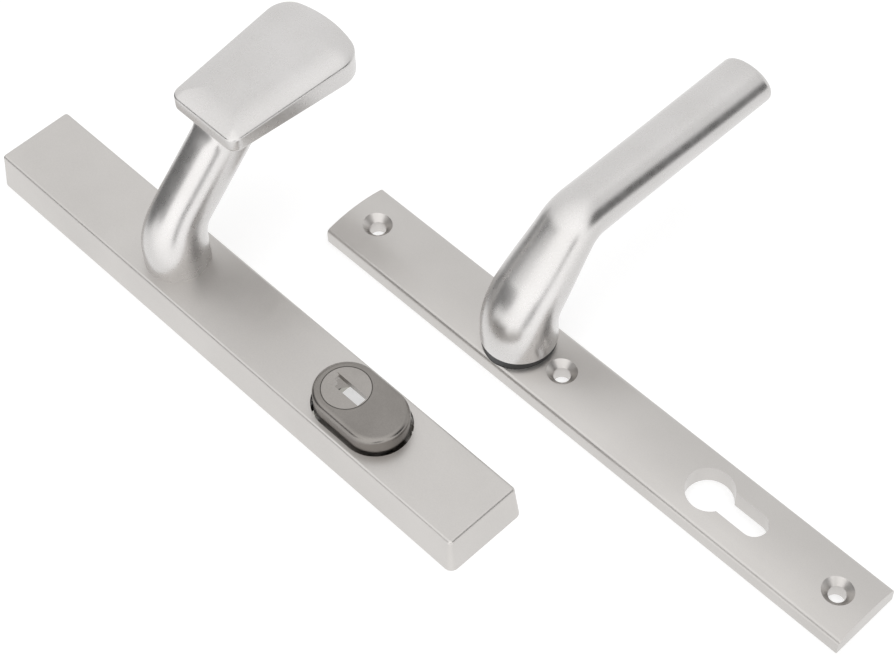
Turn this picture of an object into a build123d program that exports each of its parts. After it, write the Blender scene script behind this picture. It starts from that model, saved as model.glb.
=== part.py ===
from build123d import *
import os
from math import cos, radians, sin, tan

os.makedirs("parts", exist_ok=True)

# A door handle set of two halves that lie side by side on their backs. X runs down the plates, from
# their head ends to their feet, Y runs across them, and Z leaves the door face, which is Z = 0.
# The origin is on the inside half's lever axis, at the door face.

# Spacings that both halves share
lever_to_head = 87.0
axis_spacing = 92.0
cylinder_to_foot = 69.0
end_screw_inset = 12.5
middle_screw_drop = 21.5

# Where the outside half lies, measured from lever axis to knob axis
outside_shift_x = -111.5
outside_shift_y = -65.7

# Clearances
running_gap = 0.05
seat_gap = 0.05
axial_play = 0.10
blind_run = 1.0

# Small chamfers on turned pieces
edge_break = 0.4

# Inside plate: an extruded bar with a crowned face
inside_width = 29.0
inside_edge_height = 6.3
inside_crown_height = 8.2
inside_edge_radius = 2.0
screw_hole_radius = 3.2
countersink_radius = 5.8
countersink_angle = 90.0

# Hole for the profile cylinder
cylinder_hole_radius = 8.9
cylinder_slot_width = 10.4
cylinder_hole_height = 33.8

# Lever bearing
bush_flange_radius = 13.7
bush_flange_height = 4.1
bush_sleeve_radius = 10.0
shank_radius = 8.0
back_pocket_radius = 12.0
back_pocket_depth = 2.8
washer_thickness = 1.1
washer_radius = 11.4
lever_circlip_thickness = 1.0
lever_circlip_radius = 10.6
lever_circlip_groove = 0.6
lever_circlip_opening = 4.0
shank_recess = 0.3
spindle_square = 8.1
spindle_socket_depth = 22.0

# Lever: a round foot, a neck that leans over, an elbow and an oval grip
lever_foot_radius = 14.2
lever_foot_height = 6.0
neck_lean = 45.0
foot_bend_radius = 21.7
neck_low_width = 27.0
neck_low_thickness = 22.6
elbow_width = 22.2
elbow_thickness = 17.4
elbow_bend_radius = 18.0
grip_centre_height = 52.4
grip_reach = 120.4
grip_end_width = 22.8
grip_end_thickness = 15.2
grip_end_radius = 2.4
grub_screw_radius = 3.0
grub_screw_length = 9.0
grub_screw_height = 4.2
grub_hex = 3.0
grub_hex_depth = 3.0

# Outside shield: a drafted hollow moulding
shield_width = 34.5
shield_height = 15.5
shield_draft = 6.0
shield_corner_radius = 3.0
shield_edge_radius = 1.2
shield_wall = 2.4
shield_face = 4.0

# Armour plate in its back, with the threaded posts that the fixing screws pull on
armour_thickness = 3.0
armour_gap = 0.15
post_radius = 6.0
post_foot_radius = 4.5
post_headroom = 0.2
post_thread_radius = 2.5
post_thread_depth = 9.5
armour_screw_radius = 2.0
armour_screw_head_radius = 3.8
armour_screw_length = 10.0
armour_boss_radius = 4.2
armour_screw_hex = 2.5
armour_window_width = 25.0
armour_window_corner = 2.0
armour_window_margin = 0.3

# Fixed knob: a round neck that leans over and a flared pad
knob_foot_radius = 12.4
knob_foot_height = 7.0
knob_bend_radius = 24.6
knob_neck_radius = 10.7
pad_underside_height = 68.4
pad_near_rim = 8.6
pad_far_rim = 11.6
pad_roll_drop = 1.7
pad_side_roll = 6.5
pad_end_roll = 4.5
pad_start = 19.6
pad_length = 61.2
pad_near_width = 33.8
pad_far_width = 42.6
pad_end_bow = 3.4
pad_near_corner = 3.3
pad_far_corner = 7.0
pad_bottom_radius = 1.2

# What holds the knob to the shield
spigot_radius = 7.0
knob_bolt_radius = 4.0
knob_bolt_length = 20.0
knob_bolt_head_radius = 6.5
knob_bolt_head_height = 5.0
knob_bolt_hex = 6.0
knob_bolt_hex_depth = 3.5
lock_washer_radius = 11.0
lock_washer_thickness = 2.0
dowel_radius = 1.5
dowel_length = 7.0
dowel_circle_radius = 9.7

# Cylinder cover: a rounded cup that springs out through the shield's face
cover_radius = 12.2
cover_arc_spacing = 14.6
cover_rise = 7.8
cover_shoulder_radius = 2.0
cover_gap = 1.0
cover_foot_height = 9.0
cover_flange_thickness = 2.4
cover_ear_length = 5.6
cover_ear_width = 9.0
cover_ear_corner = 2.0
nose_slot_width = 11.6
nose_slot_end = 25.3

# Key disc that turns in the cover
disc_radius = 8.9
disc_thickness = 3.0
disc_rim_radius = 10.2
disc_rim_thickness = 2.3
disc_rim_gap = 0.1
disc_face_thickness = 2.6
disc_recess_radius = 8.2
key_slot_width = 4.8
key_slot_foot_reach = 8.4
key_slot_head_reach = 4.7
key_slot_step = 1.4
key_lead_depth = 1.2
key_lead_length = 2.7
disc_circlip_thickness = 0.9
disc_circlip_groove = 0.7
disc_circlip_width = 1.5

# Leaf springs under the cover's ears
spring_width = 4.6
spring_span = 20.0
spring_thickness = 0.4
spring_foot_length = 0.8

# Stations and levels worked out from the sizes above
plate_length = lever_to_head + axis_spacing + cylinder_to_foot
head_x = -lever_to_head
foot_x = axis_spacing + cylinder_to_foot
screw_stations = (head_x + end_screw_inset, middle_screw_drop, foot_x - end_screw_inset)
shield_ceiling = shield_height - shield_face
bush_seat = inside_edge_height
bush_top = bush_seat + bush_flange_height
lever_foot_z = bush_top + axial_play
washer_top = back_pocket_depth - axial_play
washer_bottom = washer_top - washer_thickness
lever_circlip_bottom = washer_bottom - seat_gap - lever_circlip_thickness
cover_top = shield_height + cover_rise
disc_step = cover_top - disc_thickness
disc_bottom = disc_step - disc_rim_thickness
disc_chamber_radius = disc_rim_radius + disc_rim_gap
disc_circlip_top = disc_bottom - axial_play
disc_circlip_bottom = disc_circlip_top - disc_circlip_thickness

# The cover's ears, and the armour plate's screws, each midway between the two pieces beside it
ear_reach = cover_radius + cover_ear_length
upper_ear_end = axis_spacing - ear_reach
lower_ear_end = axis_spacing + cover_arc_spacing + ear_reach
ear_mid = ear_reach - cover_ear_length / 2
spring_stations = (axis_spacing - ear_mid, axis_spacing + cover_arc_spacing + ear_mid)
armour_screw_stations = (
    (screw_stations[0] - lock_washer_radius) / 2,
    (screw_stations[1] + upper_ear_end) / 2,
    (screw_stations[2] + lower_ear_end) / 2,
)


def outside(x, y=0.0, z=0.0):
    """Gives a point of the outside half, measured from its knob axis."""
    return (outside_shift_x + x, outside_shift_y + y, z)


def write(builder, label):
    """Labels a finished piece and writes its STEP file."""
    builder.part.label = label
    export_step(builder.part, f"parts/{label}.step")


def across(centre, lean):
    """Gives the plane across a leaning neck, with its own X along the plates."""
    return Plane(origin=centre, x_dir=(1, 0, 0), z_dir=(0, sin(radians(lean)), cos(radians(lean))))


def blend(start, end, share):
    """Gives the value that lies the given share of the way from start to end."""
    return start + (end - start) * share


def profile_cylinder_hole(radius, slot_width, height):
    """Draws the round and the tail of a profile cylinder, with its round at the origin."""
    Circle(radius)
    tail_centre = height - radius - slot_width / 2
    with Locations((tail_centre / 2, 0)):
        Rectangle(tail_centre, slot_width)
    with Locations((tail_centre, 0)):
        Circle(slot_width / 2)


def ring_with_gap(outer, inner, gap):
    """Draws an open retaining ring, with its gap on the +X side."""
    Circle(outer)
    Circle(inner, mode=Mode.SUBTRACT)
    with Locations((outer, 0)):
        Rectangle(2 * outer - inner, gap, mode=Mode.SUBTRACT)


# Inside plate

with BuildPart() as interior_plate:
    with BuildSketch(Plane.YZ.offset(head_x)):
        with BuildLine():
            half = inside_width / 2
            Polyline((-half, inside_edge_height), (-half, 0), (half, 0), (half, inside_edge_height))
            ThreePointArc((half, inside_edge_height), (0, inside_crown_height), (-half, inside_edge_height))
        make_face()
    extrude(amount=plate_length)
    long_edges = interior_plate.edges().filter_by(Axis.X).group_by(Axis.Z)[-1]
    fillet(long_edges, radius=inside_edge_radius)
    with BuildSketch(Plane.XY.offset(bush_seat)):
        Circle(bush_flange_radius + seat_gap)
    extrude(amount=inside_crown_height, mode=Mode.SUBTRACT)
    with BuildSketch(Plane.XY):
        Circle(bush_sleeve_radius + seat_gap)
    extrude(amount=bush_seat, mode=Mode.SUBTRACT)
    with BuildSketch(Plane.XY):
        Circle(back_pocket_radius)
    extrude(amount=back_pocket_depth, mode=Mode.SUBTRACT)
    with BuildSketch(Plane.XY.offset(inside_crown_height)):
        with Locations((axis_spacing, 0)):
            profile_cylinder_hole(cylinder_hole_radius, cylinder_slot_width, cylinder_hole_height)
    extrude(amount=-inside_crown_height, mode=Mode.SUBTRACT)
    with Locations(*[(x, 0, inside_crown_height) for x in screw_stations]):
        CounterSinkHole(
            radius=screw_hole_radius,
            counter_sink_radius=countersink_radius,
            counter_sink_angle=countersink_angle,
        )
write(interior_plate, "interior_plate")

with BuildPart() as bearing_bush:
    with BuildSketch(Plane.XY.offset(back_pocket_depth)):
        Circle(bush_sleeve_radius)
        Circle(shank_radius + running_gap, mode=Mode.SUBTRACT)
    extrude(amount=bush_seat - back_pocket_depth)
    with BuildSketch(Plane.XY.offset(bush_seat)):
        Circle(bush_flange_radius)
        Circle(shank_radius + running_gap, mode=Mode.SUBTRACT)
    extrude(amount=bush_flange_height)
    chamfer(bearing_bush.edges().group_by(Axis.Z)[-1].sort_by(SortBy.RADIUS)[-1], length=edge_break)
write(bearing_bush, "bearing_bush")


# Lever

def draw_oval(width, thickness):
    """Draws one section of the lever, round at its foot and oval from there on."""
    if width == thickness:
        Circle(width / 2)
    else:
        Ellipse(width / 2, thickness / 2)


neck_turn = radians(neck_lean)
foot_bend_z = lever_foot_z + lever_foot_height
neck_low_y = foot_bend_radius * (1 - cos(neck_turn))
neck_low_z = foot_bend_z + foot_bend_radius * sin(neck_turn)
elbow_start_z = grip_centre_height - elbow_bend_radius * (1 - sin(neck_turn))
elbow_start_y = neck_low_y + (elbow_start_z - neck_low_z) * tan(neck_turn)
elbow_centre_y = elbow_start_y + elbow_bend_radius * cos(neck_turn)
elbow_centre_z = grip_centre_height - elbow_bend_radius
foot_width = 2 * lever_foot_radius

# Sections along the lever, each with its centre, its lean from upright, its width and its thickness
lever_sections = []
for share in (0.0, 0.5):
    lever_sections.append((0, lever_foot_z + share * lever_foot_height, 0, foot_width, foot_width))
for share in (0.0, 0.5, 1.0):
    lean = neck_lean * share
    y = foot_bend_radius * (1 - cos(radians(lean)))
    z = foot_bend_z + foot_bend_radius * sin(radians(lean))
    width = blend(foot_width, neck_low_width, share)
    thickness = blend(foot_width, neck_low_thickness, share)
    lever_sections.append((y, z, lean, width, thickness))
for share in (0.5, 1.0):
    y = blend(neck_low_y, elbow_start_y, share)
    z = blend(neck_low_z, elbow_start_z, share)
    width = blend(neck_low_width, elbow_width, share)
    thickness = blend(neck_low_thickness, elbow_thickness, share)
    lever_sections.append((y, z, neck_lean, width, thickness))
for share in (0.5, 1.0):
    lean = blend(neck_lean, 90, share)
    y = elbow_centre_y - elbow_bend_radius * cos(radians(lean))
    z = elbow_centre_z + elbow_bend_radius * sin(radians(lean))
    lever_sections.append((y, z, lean, elbow_width, elbow_thickness))
for share in (0.06, 1.0):
    y = blend(elbow_centre_y, grip_reach, share)
    width = blend(elbow_width, grip_end_width, share)
    thickness = blend(elbow_thickness, grip_end_thickness, share)
    lever_sections.append((y, grip_centre_height, 90, width, thickness))


with BuildPart() as lever:
    # Foot, neck, elbow and the first stretch of the grip are one flowing form
    for y, z, lean, width, thickness in lever_sections[:-1]:
        with BuildSketch(across((0, y, z), lean)):
            draw_oval(width, thickness)
    loft()
    # The rest of the grip tapers evenly to its end
    for y, z, lean, width, thickness in lever_sections[-2:]:
        with BuildSketch(across((0, y, z), lean)):
            draw_oval(width, thickness)
    loft()
    fillet(lever.faces().sort_by(Axis.Y)[-1].edges(), radius=grip_end_radius)
    # The shank that turns in the bush, with its ring groove, and the socket for the square spindle
    with BuildSketch(Plane.XY.offset(shank_recess)):
        Circle(shank_radius)
    extrude(amount=lever_foot_z - shank_recess)
    with BuildSketch(Plane.XY.offset(lever_circlip_bottom - seat_gap)):
        Circle(shank_radius)
        Circle(shank_radius - lever_circlip_groove, mode=Mode.SUBTRACT)
    extrude(amount=lever_circlip_thickness + 2 * seat_gap, mode=Mode.SUBTRACT)
    with BuildSketch(Plane.XY.offset(shank_recess)):
        Rectangle(spindle_square, spindle_square)
    extrude(amount=spindle_socket_depth, mode=Mode.SUBTRACT)
    with BuildSketch(Plane.YZ):
        with Locations((0, lever_foot_z + grub_screw_height)):
            Circle(grub_screw_radius + seat_gap)
    extrude(amount=-(lever_foot_radius + blind_run), mode=Mode.SUBTRACT)
write(lever, "lever")

with BuildPart() as lever_grub_screw:
    grub_inner_x = -(spindle_square / 2 + seat_gap)
    with BuildSketch(Plane.YZ.offset(grub_inner_x)):
        with Locations((0, lever_foot_z + grub_screw_height)):
            Circle(grub_screw_radius)
    extrude(amount=-grub_screw_length)
    chamfer(lever_grub_screw.edges().filter_by(GeomType.CIRCLE), length=edge_break)
    with BuildSketch(Plane.YZ.offset(grub_inner_x - grub_screw_length)):
        with Locations((0, lever_foot_z + grub_screw_height)):
            RegularPolygon(grub_hex / 2, 6, major_radius=False)
    extrude(amount=grub_hex_depth, mode=Mode.SUBTRACT)
write(lever_grub_screw, "lever_grub_screw")

with BuildPart() as thrust_washer:
    with BuildSketch(Plane.XY.offset(washer_bottom)):
        Circle(washer_radius)
        Circle(shank_radius + seat_gap, mode=Mode.SUBTRACT)
    extrude(amount=washer_thickness)
write(thrust_washer, "thrust_washer")

with BuildPart() as lever_circlip:
    with BuildSketch(Plane.XY.offset(lever_circlip_bottom)):
        circlip_bore_radius = shank_radius - lever_circlip_groove + seat_gap
        ring_with_gap(lever_circlip_radius, circlip_bore_radius, lever_circlip_opening)
    extrude(amount=lever_circlip_thickness)
write(lever_circlip, "lever_circlip")


# Outside shield

cover_mid_x = axis_spacing + cover_arc_spacing / 2
shield_centre_x = (head_x + foot_x) / 2

with BuildPart() as exterior_shield:
    with BuildSketch(Plane.XY):
        with Locations(outside(shield_centre_x)):
            RectangleRounded(plate_length, shield_width, shield_corner_radius)
    extrude(amount=shield_height, taper=shield_draft)
    fillet(exterior_shield.faces().sort_by(Axis.Z)[-1].edges(), radius=shield_edge_radius)
    with BuildSketch(Plane.XY):
        with Locations(outside(shield_centre_x)):
            Rectangle(plate_length - 2 * shield_wall, shield_width - 2 * shield_wall)
    extrude(amount=shield_ceiling, taper=shield_draft, mode=Mode.SUBTRACT)
    # Bosses for the armour plate's screws
    with BuildSketch(Plane.XY.offset(armour_thickness)):
        with Locations(*[outside(x) for x in armour_screw_stations]):
            Circle(armour_boss_radius)
    extrude(amount=shield_ceiling - armour_thickness)
    with BuildSketch(Plane.XY.offset(armour_thickness)):
        with Locations(*[outside(x) for x in armour_screw_stations]):
            Circle(armour_screw_radius + seat_gap)
    extrude(amount=armour_screw_length - armour_thickness + blind_run, mode=Mode.SUBTRACT)
    # The opening that the cylinder cover comes out of
    with BuildSketch(Plane.XY.offset(shield_ceiling)):
        with Locations(outside(cover_mid_x)):
            SlotCenterToCenter(cover_arc_spacing, 2 * (cover_radius + cover_gap))
    extrude(amount=shield_face, mode=Mode.SUBTRACT)
    # The knob's spigot and dowel holes
    with BuildSketch(Plane.XY.offset(shield_ceiling)):
        with Locations(outside(0)):
            Circle(spigot_radius + seat_gap)
        with Locations(outside(-dowel_circle_radius), outside(dowel_circle_radius)):
            Circle(dowel_radius + seat_gap)
    extrude(amount=shield_face, mode=Mode.SUBTRACT)
write(exterior_shield, "exterior_shield")

with BuildPart() as armour_plate:
    inset = 2 * (shield_wall + armour_thickness * tan(radians(shield_draft)) + armour_gap)
    with BuildSketch(Plane.XY):
        with Locations(outside(shield_centre_x)):
            Rectangle(plate_length - inset, shield_width - inset)
        with Locations(*[outside(x) for x in screw_stations]):
            Circle(post_foot_radius + seat_gap, mode=Mode.SUBTRACT)
    extrude(amount=armour_thickness)
    # The window for the cylinder ends just short of the springs' feet
    window_length = spring_stations[1] - spring_stations[0] - spring_width - 2 * armour_window_margin
    with BuildSketch(Plane.XY):
        with Locations(outside(cover_mid_x)):
            RectangleRounded(window_length, armour_window_width, armour_window_corner)
    extrude(amount=armour_thickness, mode=Mode.SUBTRACT)
    with Locations(*[Plane(origin=outside(x), z_dir=(0, 0, -1)) for x in armour_screw_stations]):
        CounterSinkHole(
            radius=armour_screw_radius + seat_gap,
            counter_sink_radius=armour_screw_head_radius + seat_gap,
            counter_sink_angle=countersink_angle,
        )
write(armour_plate, "armour_plate")

for place, station in zip(("top", "middle", "bottom"), screw_stations):
    with BuildPart() as threaded_post:
        with BuildSketch(Plane.XY):
            with Locations(outside(station)):
                Circle(post_foot_radius)
        extrude(amount=armour_thickness)
        with BuildSketch(Plane.XY.offset(armour_thickness)):
            with Locations(outside(station)):
                Circle(post_radius)
        extrude(amount=shield_ceiling - armour_thickness - post_headroom)
        with BuildSketch(Plane.XY):
            with Locations(outside(station)):
                Circle(post_thread_radius)
        extrude(amount=post_thread_depth, mode=Mode.SUBTRACT)
    write(threaded_post, f"threaded_post_{place}")

with BuildPart() as armour_screws:
    for station in armour_screw_stations:
        with BuildSketch(Plane.XY):
            with Locations(outside(station)):
                Circle(armour_screw_radius)
        extrude(amount=armour_screw_length)
        head_height = armour_screw_head_radius - armour_screw_radius
        with BuildSketch(Plane.XY):
            with Locations(outside(station)):
                Circle(armour_screw_head_radius)
        extrude(amount=head_height, taper=countersink_angle / 2)
        with BuildSketch(Plane.XY):
            with Locations(outside(station)):
                RegularPolygon(armour_screw_hex / 2, 6, major_radius=False)
        extrude(amount=head_height, mode=Mode.SUBTRACT)
write(armour_screws, "armour_screws")


# Fixed knob

knob_bend_z = shield_height + knob_foot_height
knob_neck_y = knob_bend_radius * (1 - cos(neck_turn))
knob_neck_z = knob_bend_z + knob_bend_radius * sin(neck_turn)
knob_axis = outside(0)

# The pad widens and thickens towards its far end
near_half = pad_near_width / 2
far_half = pad_far_width / 2
pad_end_y = pad_start + pad_length
side_end_y = pad_end_y - pad_end_bow
side_flare = (far_half - near_half) / (side_end_y - pad_start)
pad_slope = (pad_far_rim - pad_near_rim) / pad_length
pad_bow_radius = (far_half**2 + pad_end_bow**2) / (2 * pad_end_bow)


def pad_rim_height(y):
    """Gives the height of the pad's rim above the door at a distance from the knob's axis."""
    return pad_underside_height + pad_near_rim + (y - pad_start) * pad_slope


def draw_end_roll(y, width, way):
    """Draws what a roll takes off the pad's face at one end, from the flat face out past the rim."""
    flat_y = y - way * width
    flat_z = pad_rim_height(flat_y) + pad_roll_drop
    rim_z = pad_rim_height(y)
    TangentArc((flat_y, flat_z), (y, rim_z), tangent=(way, way * pad_slope))
    Polyline(
        (y, rim_z),
        (y + way * width, rim_z),
        (y + way * width, flat_z + width),
        (flat_y, flat_z + width),
        (flat_y, flat_z),
    )


with BuildPart() as knob:
    with BuildSketch(Plane.XY.offset(shield_height)):
        with Locations(knob_axis):
            Circle(knob_foot_radius)
    extrude(amount=knob_foot_height)
    for share in (0.0, 0.5, 1.0):
        lean = neck_lean * share
        y = knob_bend_radius * (1 - cos(radians(lean)))
        z = knob_bend_z + knob_bend_radius * sin(radians(lean))
        with BuildSketch(across(outside(0, y, z), lean)):
            Circle(blend(knob_foot_radius, knob_neck_radius, share))
    loft()
    # The straight neck runs on past the pad's underside, and is cut off inside the pad
    neck_run = pad_underside_height + pad_near_rim - knob_neck_z
    with BuildSketch(across(outside(0, knob_neck_y, knob_neck_z), neck_lean)):
        Circle(knob_neck_radius)
    extrude(amount=neck_run / cos(neck_turn))
    split(bisect_by=Plane.XY.offset(pad_underside_height + pad_near_rim / 2), keep=Keep.BOTTOM)
    # The pad's outline flares towards its bowed end
    with BuildSketch(Plane(origin=outside(0, 0, pad_underside_height))) as pad_outline:
        with BuildLine():
            Polyline(
                (-far_half, side_end_y),
                (-near_half, pad_start),
                (near_half, pad_start),
                (far_half, side_end_y),
            )
            ThreePointArc((far_half, side_end_y), (0, pad_end_y), (-far_half, side_end_y))
        make_face()
        fillet(pad_outline.vertices().group_by(Axis.Y)[0], radius=pad_near_corner)
        fillet(pad_outline.vertices().group_by(Axis.Y)[-1], radius=pad_far_corner)
    extrude(amount=pad_far_rim + 2 * pad_roll_drop)
    # Its face is flat in the middle and rolls down to the rim along both sides
    for y in (pad_start - pad_side_roll, pad_end_y + pad_side_roll):
        with BuildSketch(Plane(origin=outside(0, y), x_dir=(1, 0, 0), z_dir=(0, -1, 0))):
            with BuildLine():
                rim_half = near_half + (y - pad_start) * side_flare
                flat_half = rim_half - pad_side_roll
                rim_z = pad_rim_height(y)
                flat_z = rim_z + pad_roll_drop
                Line((-flat_half, flat_z), (flat_half, flat_z))
                TangentArc((flat_half, flat_z), (rim_half, rim_z), tangent=(1, 0))
                Polyline(
                    (rim_half, rim_z),
                    (rim_half + pad_side_roll, rim_z),
                    (rim_half + pad_side_roll, flat_z + pad_far_rim),
                    (-rim_half - pad_side_roll, flat_z + pad_far_rim),
                    (-rim_half - pad_side_roll, rim_z),
                    (-rim_half, rim_z),
                )
                TangentArc((-flat_half, flat_z), (-rim_half, rim_z), tangent=(-1, 0))
            make_face()
    loft(mode=Mode.SUBTRACT)
    # It rolls down at both ends as well, along the bow at the far one
    with BuildSketch(Plane(origin=knob_axis, x_dir=(0, 1, 0), z_dir=(1, 0, 0))):
        with BuildLine():
            draw_end_roll(pad_start, pad_side_roll, -1)
        make_face()
    extrude(amount=pad_far_width, both=True, mode=Mode.SUBTRACT)
    with BuildSketch(Plane(origin=knob_axis, x_dir=(0, 1, 0), z_dir=(1, 0, 0))):
        with BuildLine():
            draw_end_roll(pad_end_y, pad_end_roll, 1)
        make_face()
    revolve(axis=Axis(outside(0, pad_end_y - pad_bow_radius), (0, 0, 1)), mode=Mode.SUBTRACT)
    pad_base = knob.faces().filter_by(Plane.XY).sort_by(Axis.Z)[-1]
    fillet(pad_base.outer_wire().edges(), radius=pad_bottom_radius)
    # Spigot, blind hole for the bolt and dowel holes
    with BuildSketch(Plane.XY.offset(shield_ceiling)):
        with Locations(knob_axis):
            Circle(spigot_radius)
    extrude(amount=shield_face)
    with BuildSketch(Plane.XY.offset(shield_ceiling)):
        with Locations(knob_axis):
            Circle(knob_bolt_radius + seat_gap)
    extrude(amount=knob_bolt_length, mode=Mode.SUBTRACT)
    with BuildSketch(Plane.XY.offset(shield_height)):
        with Locations(outside(-dowel_circle_radius), outside(dowel_circle_radius)):
            Circle(dowel_radius + seat_gap)
    extrude(amount=dowel_length - shield_face + blind_run, mode=Mode.SUBTRACT)
write(knob, "knob")

with BuildPart() as knob_lock_washer:
    with BuildSketch(Plane.XY.offset(shield_ceiling - lock_washer_thickness)):
        with Locations(knob_axis):
            Circle(lock_washer_radius)
            Circle(knob_bolt_radius + seat_gap, mode=Mode.SUBTRACT)
    extrude(amount=lock_washer_thickness)
write(knob_lock_washer, "knob_lock_washer")

bolt_seat = shield_ceiling - lock_washer_thickness
with BuildPart() as knob_bolt:
    with BuildSketch(Plane.XY.offset(bolt_seat - knob_bolt_head_height)):
        with Locations(knob_axis):
            Circle(knob_bolt_head_radius)
    extrude(amount=knob_bolt_head_height)
    chamfer(knob_bolt.edges().group_by(Axis.Z)[0], length=edge_break)
    with BuildSketch(Plane.XY.offset(bolt_seat)):
        with Locations(knob_axis):
            Circle(knob_bolt_radius)
    extrude(amount=knob_bolt_length)
    with BuildSketch(Plane.XY.offset(bolt_seat - knob_bolt_head_height)):
        with Locations(knob_axis):
            RegularPolygon(knob_bolt_hex / 2, 6, major_radius=False)
    extrude(amount=knob_bolt_hex_depth, mode=Mode.SUBTRACT)
write(knob_bolt, "knob_bolt")

with BuildPart() as knob_dowel_pins:
    with BuildSketch(Plane.XY.offset(shield_ceiling)):
        with Locations(outside(-dowel_circle_radius), outside(dowel_circle_radius)):
            Circle(dowel_radius)
    extrude(amount=dowel_length)
write(knob_dowel_pins, "knob_dowel_pins")


# Cylinder cover and what it carries

cover_axis = outside(axis_spacing)
ear_span = lower_ear_end - upper_ear_end

with BuildPart() as cylinder_cover:
    with BuildSketch(Plane.XY.offset(cover_foot_height)):
        with Locations(outside(cover_mid_x)):
            SlotCenterToCenter(cover_arc_spacing, 2 * cover_radius)
    extrude(amount=cover_top - cover_foot_height)
    fillet(cylinder_cover.faces().sort_by(Axis.Z)[-1].edges(), radius=cover_shoulder_radius)
    # Ears at both ends stop the cover under the shield's face
    with BuildSketch(Plane.XY.offset(cover_foot_height)):
        with Locations(outside(cover_mid_x)):
            RectangleRounded(ear_span, cover_ear_width, cover_ear_corner)
    extrude(amount=cover_flange_thickness)
    # Room inside for the key disc and for the cylinder's nose
    with BuildSketch(Plane.XY.offset(cover_foot_height)):
        with Locations(cover_axis):
            Circle(disc_chamber_radius)
    extrude(amount=disc_step + disc_rim_gap - cover_foot_height, mode=Mode.SUBTRACT)
    with BuildSketch(Plane.XY.offset(cover_foot_height)):
        with Locations(cover_axis):
            profile_cylinder_hole(disc_chamber_radius, nose_slot_width, disc_chamber_radius + nose_slot_end)
    extrude(amount=disc_circlip_bottom - cover_foot_height, mode=Mode.SUBTRACT)
    with BuildSketch(Plane.XY.offset(disc_step)):
        with Locations(cover_axis):
            Circle(disc_radius + running_gap)
    extrude(amount=disc_thickness, mode=Mode.SUBTRACT)
    with BuildSketch(Plane.XY.offset(disc_circlip_bottom - seat_gap)):
        with Locations(cover_axis):
            Circle(disc_chamber_radius + disc_circlip_groove)
    extrude(amount=disc_circlip_thickness + 2 * seat_gap, mode=Mode.SUBTRACT)
write(cylinder_cover, "cylinder_cover")

with BuildPart() as key_disc:
    with BuildSketch(Plane.XY.offset(disc_bottom)):
        with Locations(cover_axis):
            Circle(disc_rim_radius)
    extrude(amount=disc_rim_thickness)
    with BuildSketch(Plane.XY.offset(disc_step)):
        with Locations(cover_axis):
            Circle(disc_radius)
    extrude(amount=disc_thickness)
    with BuildSketch(Plane.XY.offset(disc_bottom)):
        with Locations(cover_axis):
            Circle(disc_recess_radius)
    extrude(amount=disc_rim_thickness + disc_thickness - disc_face_thickness, mode=Mode.SUBTRACT)
    # The key slot reaches further towards the head end in its far half
    with BuildSketch(Plane(origin=outside(axis_spacing, 0, disc_bottom))):
        with BuildLine():
            slot_half = key_slot_width / 2
            step_x = -key_slot_head_reach - key_slot_step
            Polyline(
                (-key_slot_head_reach, -slot_half),
                (key_slot_foot_reach, -slot_half),
                (key_slot_foot_reach, slot_half),
                (step_x, slot_half),
                (step_x, 0),
                (-key_slot_head_reach, 0),
                (-key_slot_head_reach, -slot_half),
            )
        make_face()
    extrude(amount=disc_rim_thickness + disc_thickness, mode=Mode.SUBTRACT)
    # A ramp leads the key's tip into the slot
    with BuildSketch(Plane(origin=outside(axis_spacing), x_dir=(1, 0, 0), z_dir=(0, -1, 0))):
        with BuildLine():
            Polyline(
                (-key_slot_head_reach - key_lead_length, cover_top),
                (-key_slot_head_reach, cover_top - key_lead_depth),
                (0, cover_top - key_lead_depth),
                (0, cover_top),
                (-key_slot_head_reach - key_lead_length, cover_top),
            )
        make_face()
    extrude(amount=key_slot_width / 2, both=True, mode=Mode.SUBTRACT)
write(key_disc, "key_disc")

with BuildPart() as disc_circlip:
    clip_outer = disc_chamber_radius + disc_circlip_groove - seat_gap
    with BuildSketch(Plane(origin=outside(axis_spacing, 0, disc_circlip_bottom))):
        ring_with_gap(clip_outer, clip_outer - disc_circlip_width, nose_slot_width)
    extrude(amount=disc_circlip_thickness)
write(disc_circlip, "disc_circlip")

# Two bowed leaf springs stand on the armour plate and press the ears outwards
spring_foot_z = armour_thickness + seat_gap
spring_top_z = cover_foot_height - seat_gap
spring_half = spring_span / 2
for place, station in zip(("upper", "lower"), spring_stations):
    with BuildPart() as cover_spring:
        with BuildSketch(Plane(origin=outside(station), x_dir=(0, 1, 0), z_dir=(1, 0, 0))):
            with BuildLine():
                inner_half = spring_half - spring_foot_length
                ThreePointArc((-spring_half, spring_foot_z), (0, spring_top_z), (spring_half, spring_foot_z))
                Line((spring_half, spring_foot_z), (inner_half, spring_foot_z))
                ThreePointArc(
                    (inner_half, spring_foot_z),
                    (0, spring_top_z - spring_thickness),
                    (-inner_half, spring_foot_z),
                )
                Line((-inner_half, spring_foot_z), (-spring_half, spring_foot_z))
            make_face()
        extrude(amount=spring_width / 2, both=True)
    write(cover_spring, f"cover_spring_{place}")
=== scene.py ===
# %% [markdown]
# # A security door handle set, dressed in Blender
#
# The set has two halves that lie side by side on their backs. The inside half is a slim plate with a
# cranked lever. The outside half is a taller shield with a fixed knob and a guarded cylinder opening.
# The solid parts come ready made, at their real size. This lesson gives them their finishes, cuts the
# screw threads, shapes the leaf springs, makes the castings of lever and knob again as smooth skins,
# lays the set on a pale table and lights it as a catalogue studio would.

# %% Load the frame
import math

import bmesh
import bpy
from mathutils import Matrix, Vector


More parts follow.
